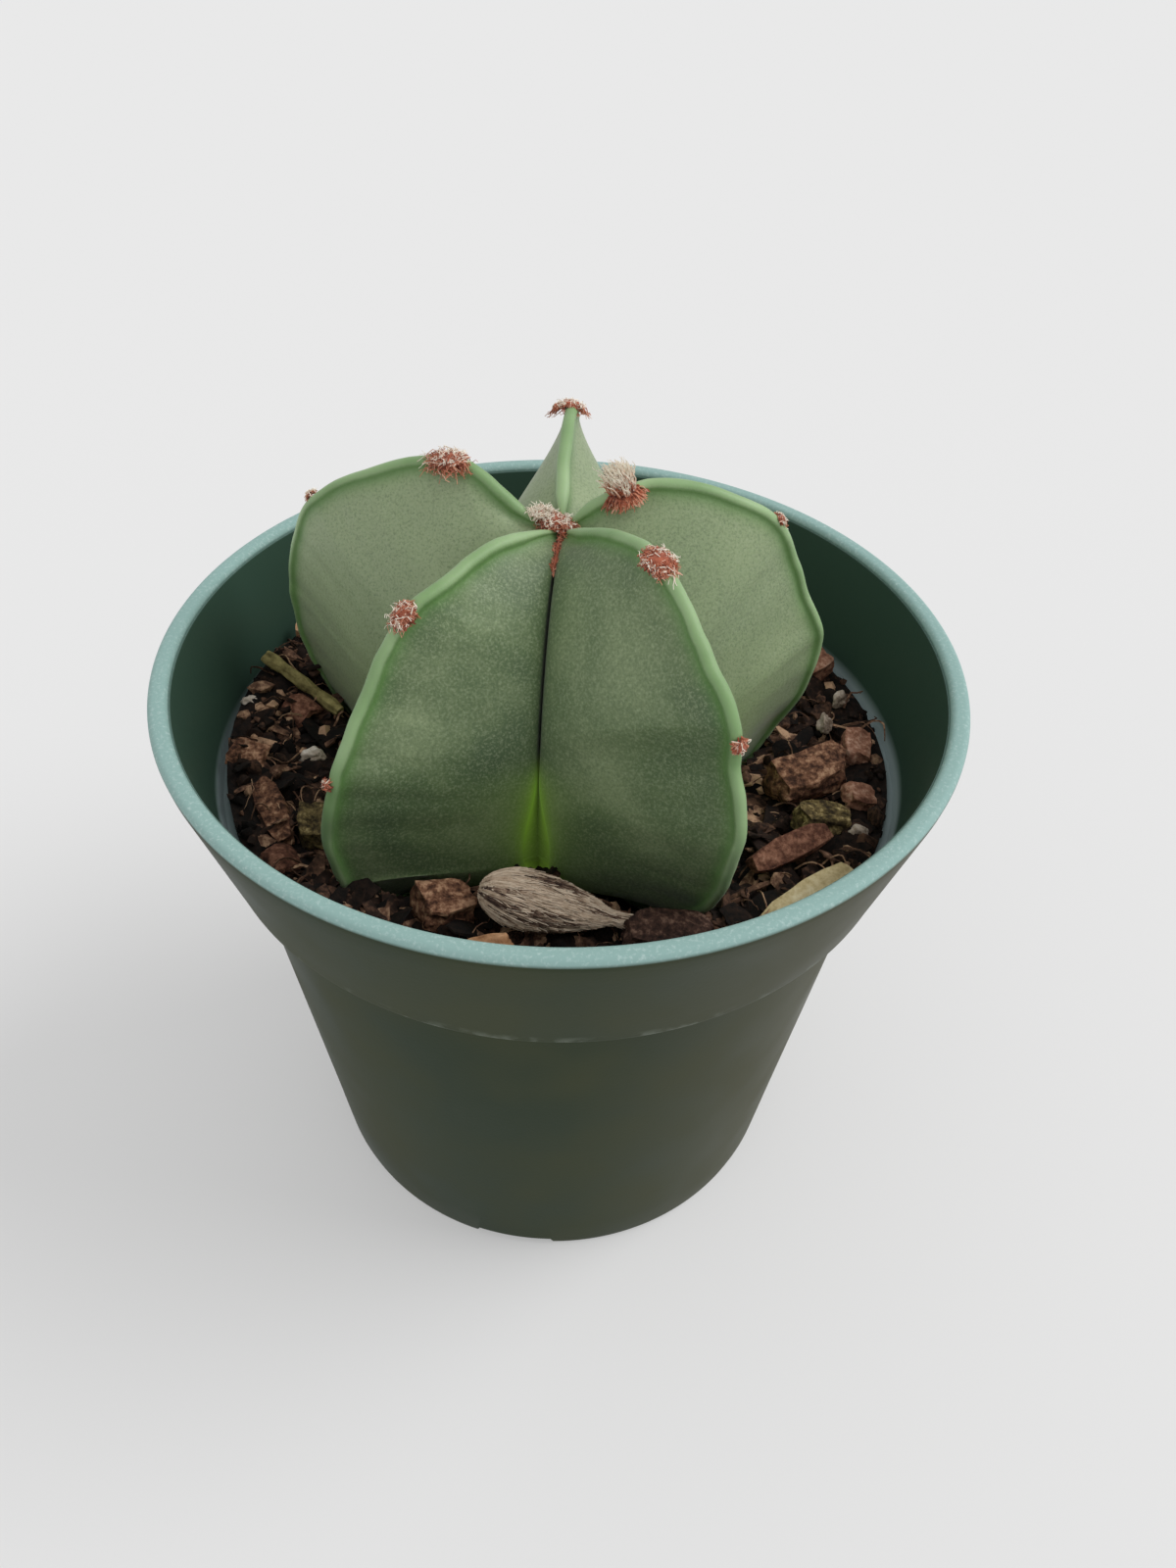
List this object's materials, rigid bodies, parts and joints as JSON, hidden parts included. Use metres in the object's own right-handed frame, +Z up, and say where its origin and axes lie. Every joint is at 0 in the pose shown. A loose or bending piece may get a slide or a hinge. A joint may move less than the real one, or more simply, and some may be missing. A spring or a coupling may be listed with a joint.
{
  "type": "potted bishop's cap cactus",
  "caption": "Spineless star-shaped cactus with deep ribs and woolly areoles, standing in bark-rich potting mix in a round tapered plastic nursery pot with a deep collar.",
  "frame": {"origin": "centre of the pot's foot, on the surface that it stands on", "axes": "+Z up along the pot's axis; -Y is the front, where the withered flower lies between two ribs"},
  "size_m": [0.105, 0.105, 0.1157],
  "materials": {
    "pot_plastic": "moulded polypropylene, deep green, satin",
    "potting_mix": "damp bark and peat, rough",
    "cactus_skin": "waxy grey-green skin with light green ridges",
    "areole_wool": "dense salmon and cream wool",
    "dried_bloom": "dry grey-beige wool with dark streaks",
    "twig_wood": "dry olive-yellow stalk",
    "straw": "split pale sapwood",
    "bark": "broken pine bark, rough",
    "mossy_bark": "bark with yellow-green algae",
    "perlite": "stained expanded grains, matt"
  },
  "bodies": {
    "root": {"pot": "pot_plastic", "soil": "potting_mix", "cactus_stem": "cactus_skin", "wool_crown": "areole_wool", "wool_right_back": "areole_wool", "wool_back": "areole_wool", "wool_left_back": "areole_wool", "wool_left_front": "areole_wool", "wool_right_front": "areole_wool", "wool_small_right_back": "areole_wool", "wool_small_left_back": "areole_wool", "wool_small_left_front": "areole_wool", "wool_small_right_front": "areole_wool", "dried_bloom": "dried_bloom", "twig": "twig_wood", "straw_sliver": "straw", "bark_chunk_front": "bark", "bark_crumb_front": "bark", "fibre_front": "bark", "bark_plank_right": "bark", "bark_block_right": "bark", "bark_chip_right": "bark", "bark_pink_right": "bark", "bark_pink_back": "bark", "bark_slab_left": "bark", "bark_curl_left": "bark", "bark_curl_mid": "bark", "bark_strip_left": "bark", "bark_curl_low": "bark", "bark_back_right": "bark", "bark_back_mid": "bark", "bark_back_left": "bark", "moss_chip_right": "mossy_bark", "moss_chunk_left": "mossy_bark", "perlite_left": "perlite", "perlite_left_back": "perlite", "perlite_right": "perlite", "perlite_right_back": "perlite", "perlite_right_front": "perlite", "perlite_back": "perlite"}
  },
  "joints": []
}
